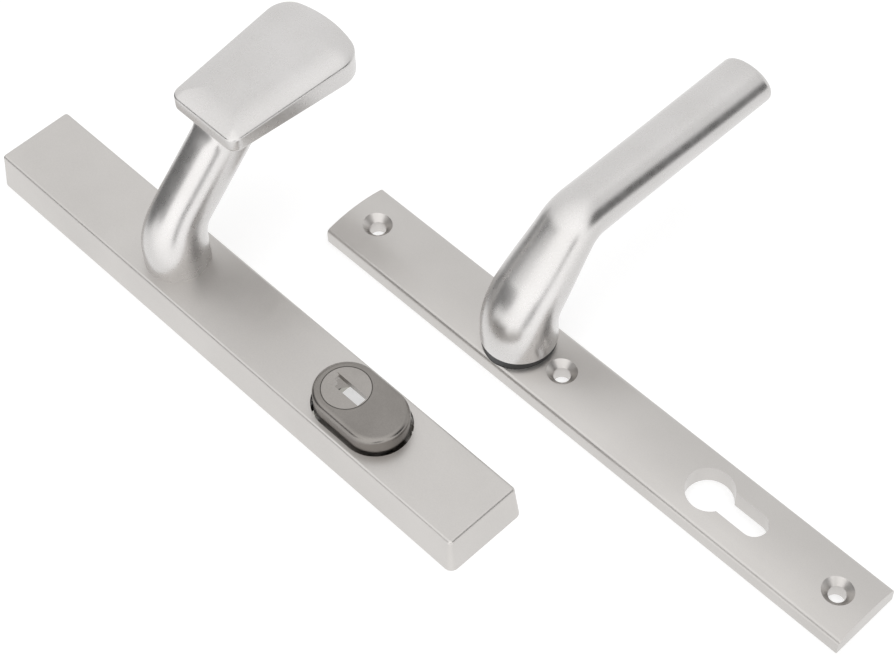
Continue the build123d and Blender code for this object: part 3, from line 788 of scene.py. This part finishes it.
def pad_outline(inset=0.0):
    """Gives the pad's outline, drawn in by a distance, as points seen from above."""
    slope = (PAD_FAR_HALF - PAD_NEAR_HALF) / (PAD_END - PAD_BOW - PAD_START)
    near = Vector((PAD_NEAR_HALF + slope * inset - inset, PAD_START + inset))
    near_radius, far_radius = [max(TINY_RADIUS, corner - inset) for corner in PAD_CORNERS]
    bow_radius = (PAD_FAR_HALF**2 + PAD_BOW**2) / (2 * PAD_BOW) - inset
    bow_centre = Vector((0, PAD_END - inset - bow_radius))
    far_x = PAD_FAR_HALF - slope * inset - inset
    far = Vector((far_x, bow_centre.y + math.sqrt(bow_radius**2 - far_x**2)))
    first = near_corner(near, far, near_radius)
    second = far_corner(far, near, bow_centre, bow_radius, far_radius)
    side = evenly(first[-1], second[0], POINTS_ON_SIDE)
    bow = []
    for step in range(1, POINTS_ON_END):
        x = second[-1].x * (1 - 2 * step / POINTS_ON_END)
        bow.append(Vector((x, bow_centre.y + math.sqrt(bow_radius**2 - x * x))))
    left = mirrored_points(first + side + second)
    return first + side + second + bow + left + evenly(left[-1], first[0], POINTS_ON_END)


def evenly(start, end, count):
    """Gives the points that divide a straight line into equal steps, without its ends."""
    return [start.lerp(end, step / count) for step in range(1, count)]


outline = pad_outline()
print("pad outline has", len(outline), "points")

# %% [markdown]
# The neck's rings take their compass directions from the outline's points, so that every ring has a
# partner for each point. Along the bend a ring stands square across the neck. From there on the rings
# turn level, step by step, until they lie flat under the pad, where they spread in a hollow curve.

# %% The knob's skin
KNOB_FOOT_RADIUS = 12.4 * MM
KNOB_FOOT_RISE = 7.0 * MM
KNOB_BEND = 24.6 * MM
KNOB_NECK_RADIUS = 10.7 * MM
KNOB_HOLLOW = 6.0 * MM
SPIGOT_RADIUS = 7.0 * MM
BOLT_BORE_RADIUS = 4.05 * MM
BOLT_BORE_DEPTH = 20.0 * MM
DOWEL_RADIUS = 1.5 * MM
DOWEL_BORE_RADIUS = 1.55 * MM
# The rings are spread round a point that lies this far before the pad's middle, nearer to the neck
SPREAD_SHIFT = 8.0 * MM
HOLLOW_SPREAD = 0.7
BEND_RINGS = 20
NECK_RINGS = 16
HOLLOW_RINGS = 10
ROUNDING_RINGS = 6

shield_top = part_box("exterior_shield")[1].z
spigot_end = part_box("knob_lock_washer")[1].z
bend_z = shield_top + KNOB_FOOT_RISE
neck_y = KNOB_BEND * (1 - math.cos(NECK_LEAN))
neck_z = bend_z + KNOB_BEND * math.sin(NECK_LEAN)
spread_y = (PAD_START + PAD_END) / 2 - SPREAD_SHIFT
directions = [math.atan2(point.y - spread_y, point.x) for point in outline]


def neck_ring(radius, centre, lean, tilt):
    """Gives a ring of a round neck that leans, cut by a plane with its own tilt."""
    along = Vector((0, math.sin(lean), math.cos(lean)))
    plane = Vector((0, math.sin(tilt), math.cos(tilt)))
    points = []
    for direction in directions:
        ahead = math.sin(direction)
        spoke = Vector((math.cos(direction), ahead * math.cos(lean), -ahead * math.sin(lean))) * radius
        points.append(centre + spoke - along * spoke.dot(plane) / along.dot(plane))
    return points


def pad_height(y):
    """Gives the height of the pad's flat face, which rises towards its far end."""
    slope = (PAD_FAR_RIM - PAD_NEAR_RIM) / (PAD_END - PAD_START)
    return PAD_UNDERSIDE + PAD_NEAR_RIM + PAD_ROLL_DROP + (y - PAD_START) * slope


upright = Vector((0, 0, 1))
rings_of_knob = [
    neck_ring(BOLT_BORE_RADIUS, upright * (spigot_end + BOLT_BORE_DEPTH), 0, 0),
    neck_ring(BOLT_BORE_RADIUS, upright * spigot_end, 0, 0),
    neck_ring(SPIGOT_RADIUS, upright * spigot_end, 0, 0),
    neck_ring(SPIGOT_RADIUS, upright * shield_top, 0, 0),
    neck_ring(KNOB_FOOT_RADIUS, upright * shield_top, 0, 0),
    neck_ring(KNOB_FOOT_RADIUS, upright * (shield_top + KNOB_FOOT_RISE / 2), 0, 0),
]
for step in range(BEND_RINGS + 1):
    share = step / BEND_RINGS
    lean = NECK_LEAN * share
    centre = Vector((0, KNOB_BEND * (1 - math.cos(lean)), bend_z + KNOB_BEND * math.sin(lean)))
    glide = share * share * (3 - 2 * share)
    radius = KNOB_FOOT_RADIUS + (KNOB_NECK_RADIUS - KNOB_FOOT_RADIUS) * glide
    rings_of_knob.append(neck_ring(radius, centre, lean, lean))
hollow_z = PAD_UNDERSIDE - KNOB_HOLLOW
for step in range(1, NECK_RINGS + 1):
    share = step / NECK_RINGS
    z = neck_z + (hollow_z - neck_z) * share
    centre = Vector((0, neck_y + (z - neck_z) * math.tan(NECK_LEAN), z))
    rings_of_knob.append(neck_ring(KNOB_NECK_RADIUS, centre, NECK_LEAN, NECK_LEAN * (1 - share)))
foot_outline = pad_outline(PAD_FOOT_ROUNDING)
for step in range(1, HOLLOW_RINGS + 1):
    swing = math.pi / 2 * step / HOLLOW_RINGS
    z = PAD_UNDERSIDE - KNOB_HOLLOW * (1 - math.sin(swing))
    spread = HOLLOW_SPREAD * (1 - math.cos(swing))
    centre = Vector((0, neck_y + (z - neck_z) * math.tan(NECK_LEAN), z))
    ring = neck_ring(KNOB_NECK_RADIUS, centre, NECK_LEAN, 0)
    rings_of_knob.append([point.lerp((*edge, z), spread) for point, edge in zip(ring, foot_outline)])
for step in range(ROUNDING_RINGS + 1):
    swing = math.pi / 2 * step / ROUNDING_RINGS
    inset = PAD_FOOT_ROUNDING * (1 - math.sin(swing))
    z = PAD_UNDERSIDE + PAD_FOOT_ROUNDING * (1 - math.cos(swing))
    rings_of_knob.append([Vector((*point, z)) for point in pad_outline(inset)])


def face_ring(inset):
    """Gives the ring on the pad's face that lies a distance inside its outline."""
    bend = 2 * math.atan(PAD_ROLL_DROP / PAD_ROLL)
    roll_radius = PAD_ROLL / math.sin(bend)
    reach = max(0.0, PAD_ROLL - inset)
    drop = roll_radius - math.sqrt(roll_radius * roll_radius - reach * reach)
    return [Vector((*point, pad_height(point.y) - drop)) for point in pad_outline(inset)]


steepest = 2 * math.atan(PAD_ROLL_DROP / PAD_ROLL)
rim_inset = PAD_RIM_ROUNDING * (1 - math.sin(steepest))
rim_ring = face_ring(rim_inset)
for step in range(ROUNDING_RINGS):
    swing = (math.pi / 2 - steepest) * step / ROUNDING_RINGS
    inset = PAD_RIM_ROUNDING * (1 - math.cos(swing))
    fall = PAD_RIM_ROUNDING * (math.cos(steepest) - math.sin(swing))
    rings_of_knob.append([Vector((*point, top.z - fall)) for point, top in zip(pad_outline(inset), rim_ring)])
for step in range(2 * ROUNDING_RINGS + 1):
    rings_of_knob.append(face_ring(rim_inset + (PAD_ROLL - rim_inset) * step / (2 * ROUNDING_RINGS)))
here = Vector((knob_x, knob_y, 0))
knob_skin = skin([[point + here for point in ring] for ring in rings_of_knob])
knob_casting = finish_piece(knob_skin, "knob_casting", cast, "root")
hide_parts("knob")
low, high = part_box("knob_dowel_pins")
for side in (-1, 1):
    x = knob_x + side * ((high.x - low.x) / 2 - DOWEL_RADIUS)
    mouth, floor = Vector((x, knob_y, spigot_end)), Vector((x, knob_y, high.z + MM))
    drill_out(knob_casting, DOWEL_BORE_RADIUS, mouth, floor)
print("knob has", len(rings_of_knob), "rings and", len(knob_casting.data.polygons), "faces")

# %% [markdown]
# ## The table
#
# The set lies on a pale table, which has to read as white paper and still keep the soft shadows that
# tell the eye where things touch. A little of its own glow, for the camera only, lifts it to paper
# white. The metal doesn't mirror the table, because the tent below paints all that it mirrors.

# %% The table
def stage_plane(name, corners):
    """Makes a flat sheet for the studio, which isn't part of the object."""
    mesh = bpy.data.meshes.new(name)
    mesh.from_pydata(corners, [], [(0, 1, 2, 3)])
    sheet = bpy.data.objects.new(name, mesh)
    bpy.context.scene.collection.objects.link(sheet)
    return sheet


TABLE_HALF = 4.0
TABLE_DROP = 0.05 * MM
TABLE_GLOW = 0.62
corners = [(x, y, -TABLE_DROP) for x, y in ((-1, -1), (1, -1), (1, 1), (-1, 1))]
table = stage_plane("table", [(x * TABLE_HALF, y * TABLE_HALF, z) for x, y, z in corners])

paper = bpy.data.materials.new("white_table_paper")
paper.use_nodes = True
tree = paper.node_tree
tree.nodes.clear()
seen = add_node(tree, "ShaderNodeLightPath").outputs["Is Camera Ray"]
glow_share = add_node(tree, "ShaderNodeMath", {0: seen, 1: TABLE_GLOW}, operation="MULTIPLY")
sheet = add_node(tree, "ShaderNodeBsdfDiffuse", {"Color": colour("C4C4C4")})
wires = {"Color": colour("FFFFFF"), "Strength": glow_share.outputs["Value"]}
glow = add_node(tree, "ShaderNodeEmission", wires)
both = add_node(tree, "ShaderNodeAddShader", {0: sheet.outputs["BSDF"], 1: glow.outputs["Emission"]})
add_node(tree, "ShaderNodeOutputMaterial", {"Surface": both.outputs["Shader"]})
table.data.materials.append(paper)
table.visible_glossy = False
print("table ready")

# %% [markdown]
# ## The light tent
#
# Metal shows what is around it, so a studio photographer builds its surroundings. The walls and roof of
# the tent are white cloth. It is brighter round a big window high on one side and a faint low one, and a
# little brighter below, where the table throws light back.
#
# In a tent that is white all round, polished metal looks flat. So black cards stand just out of the
# picture, and each puts a dark streak where the eye needs an edge: two for the near side of the necks, a
# narrow one for the thin streak on their other side, and one with a grey veil over it for the lower side
# of the grip.
#
# All of it is painted on the world by direction, as if on the inside of a far globe. Only mirrored rays
# see the cards and windows. The camera sees plain white, and the set's soft fill light is an even one.
# The cards are placed for this camera, so from another side they don't fall on the same edges.

# %% Directions round the set
def compass(azimuth, elevation):
    """Gives the direction at a compass angle from +X towards +Y, and an angle over the horizon."""
    turn, rise = math.radians(azimuth), math.radians(elevation)
    return Vector((math.cos(turn) * math.cos(rise), math.sin(turn) * math.cos(rise), math.sin(rise)))


def calculate(tree, operation, first, second):
    """Joins two values, each a socket or a plain number, by a sum, product or other rule."""
    return add_node(tree, "ShaderNodeMath", {0: first, 1: second}, operation=operation).outputs["Value"]


def pointing(tree, ray, direction):
    """Tells how much a ray points in a direction, from -1 to 1."""
    wires = {0: ray, 1: direction}
    return add_node(tree, "ShaderNodeVectorMath", wires, operation="DOT_PRODUCT").outputs["Value"]


def oval_card(tree, ray, azimuth, elevation, half_length, half_width, tilt):
    """Gives 1 where a ray meets an oval card and 0 past its soft edge. All sizes are angles."""
    centre = compass(azimuth, elevation)
    sideways = compass(azimuth + 90, 0)
    upwards = centre.cross(sideways)
    lean = math.radians(tilt)
    along = (sideways * math.cos(lean) + upwards * math.sin(lean)) / math.sin(math.radians(half_length))
    across = (upwards * math.cos(lean) - sideways * math.sin(lean)) / math.sin(math.radians(half_width))
    far_along = calculate(tree, "POWER", calculate(tree, "ABSOLUTE", pointing(tree, ray, along), 0.0), 2.0)
    far_across = calculate(tree, "POWER", calculate(tree, "ABSOLUTE", pointing(tree, ray, across), 0.0), 2.0)
    distance = calculate(tree, "SQRT", calculate(tree, "ADD", far_along, far_across), 0.0)
    inside = ramp(tree, distance, 0.75, 1.15, 1.0, 0.0)
    ahead = calculate(tree, "GREATER_THAN", pointing(tree, ray, centre), 0.0)
    return calculate(tree, "MULTIPLY", inside, ahead)


# %% [markdown]
# The low window and each card are five angles in degrees: where it stands on the compass, how high over
# the horizon, its half length, its half width, and how far it is tilted. A card's last number tells how
# much of the light it takes away, where 1 would be fully black.

# %% The tent's walls
TENT_FOR_SHADE = 0.55
TENT_FOR_SIGHT = 1.0
CLOTH = 1.0
WINDOW = 0.55
WINDOW_DIRECTION = compass(308, 35)
TABLE_LIGHT = 0.10
LOW_WINDOW = (264, -5, 28, 13, 0)
LOW_WINDOW_LIGHT = 0.12
CARDS = (
    (209, 3, 37, 18, 43, 0.80),
    (245, 22, 18, 14, 20, 0.72),
    (-40, 9, 24, 8, 60, 0.76),
    (28, 30, 22, 19, 0, 0.94),
    (42, 52, 30, 17, 0, 0.20),
)

world = bpy.data.worlds.new("light_tent")
bpy.context.scene.world = world
world.use_nodes = True
tree = world.node_tree
tree.nodes.clear()
ray = add_node(tree, "ShaderNodeTexCoord").outputs["Generated"]
kind = add_node(tree, "ShaderNodeLightPath").outputs
window = ramp(tree, pointing(tree, ray, WINDOW_DIRECTION), 0.0, 0.93, CLOTH, CLOTH + WINDOW)
from_table = ramp(tree, pointing(tree, ray, Vector((0, 0, -1))), 0.1, 0.5, 0.0, TABLE_LIGHT)
mirrored = calculate(tree, "ADD", window, from_table)
low_window = calculate(tree, "MULTIPLY", oval_card(tree, ray, *LOW_WINDOW), LOW_WINDOW_LIGHT)
mirrored = calculate(tree, "ADD", mirrored, low_window)
for *place_and_size, darkness in CARDS:
    shade = ramp(tree, oval_card(tree, ray, *place_and_size), 0.0, 1.0, 1.0, 1.0 - darkness)
    mirrored = calculate(tree, "MULTIPLY", mirrored, shade)
seen = calculate(tree, "MULTIPLY", kind["Is Camera Ray"], TENT_FOR_SIGHT)
shown = calculate(tree, "MULTIPLY", kind["Is Glossy Ray"], mirrored)
soft = calculate(tree, "MULTIPLY", kind["Is Diffuse Ray"], TENT_FOR_SHADE)
strength = calculate(tree, "ADD", calculate(tree, "ADD", seen, shown), soft)
cloth = add_node(tree, "ShaderNodeBackground", {"Color": colour("FFFFFF"), "Strength": strength})
add_node(tree, "ShaderNodeOutputWorld", {"Surface": cloth.outputs["Background"]})
print("tent has", len(CARDS), "cards")


# %% [markdown]
# The cloth alone lights the set evenly, which leaves the pieces without weight. One wide soft box hangs
# over the table, so that soft shadows fall straight down beside the feet and under the grips. The metal
# doesn't mirror it, because the tent already paints what the metal shows.

# %% The lamp over the table
def soft_box(name, direction, distance, width, height, radiance):
    """Hangs a lamp in a direction from the set, with its brightness as the table sees it."""
    lamp = bpy.data.lights.new(name, "AREA")
    lamp.shape = "RECTANGLE"
    lamp.size = width
    lamp.size_y = height
    lamp.energy = radiance * math.pi * width * height
    holder = bpy.data.objects.new(name, lamp)
    bpy.context.scene.collection.objects.link(holder)
    towards = Vector(direction).normalized()
    holder.location = towards * distance
    holder.rotation_euler = towards.to_track_quat("Z", "Y").to_euler()
    return holder


overhead_box = soft_box(
    "overhead_box", direction=(0.05, 0.10, 1.0), distance=1.30, width=1.20, height=1.20, radiance=1.6
)
overhead_box.visible_glossy = False
print("lamp hung")

# %% [markdown]
# ## The camera
#
# The camera looks down on the set from the front right, at the height from which a customer would look
# at it on a counter. Its place was worked out from the set's own corners in the photograph, so that
# the plates, holes and grips fall where the photograph has them.

# %% The camera
AZIMUTH = math.radians(47.6)
ELEVATION = math.radians(53.45)
ROLL = math.radians(-2.38)
DISTANCE = 828.45 * MM
AIM = Vector((-25.88 * MM, -11.15 * MM, 0))
FOCAL_LENGTH = 90.91

back = Vector((
    math.sin(AZIMUTH) * math.cos(ELEVATION),
    -math.cos(AZIMUTH) * math.cos(ELEVATION),
    math.sin(ELEVATION),
))
right = (-back).cross(Vector((0, 0, 1))).normalized()
up = right.cross(-back)
camera_right = math.cos(ROLL) * right + math.sin(ROLL) * up
camera_up = -math.sin(ROLL) * right + math.cos(ROLL) * up
turn = Matrix((camera_right, camera_up, back)).transposed().to_4x4()

lens = bpy.data.cameras.new("studio_camera")
lens.lens = FOCAL_LENGTH
lens.sensor_width = 36.0
lens.sensor_fit = "HORIZONTAL"
lens.clip_start = 0.01
camera = bpy.data.objects.new("studio_camera", lens)
bpy.context.scene.collection.objects.link(camera)
camera.matrix_world = Matrix.Translation(AIM + back * DISTANCE) @ turn
bpy.context.scene.camera = camera
bpy.context.scene.view_settings.view_transform = "Standard"
print("camera stands at", [round(c, 3) for c in camera.location])
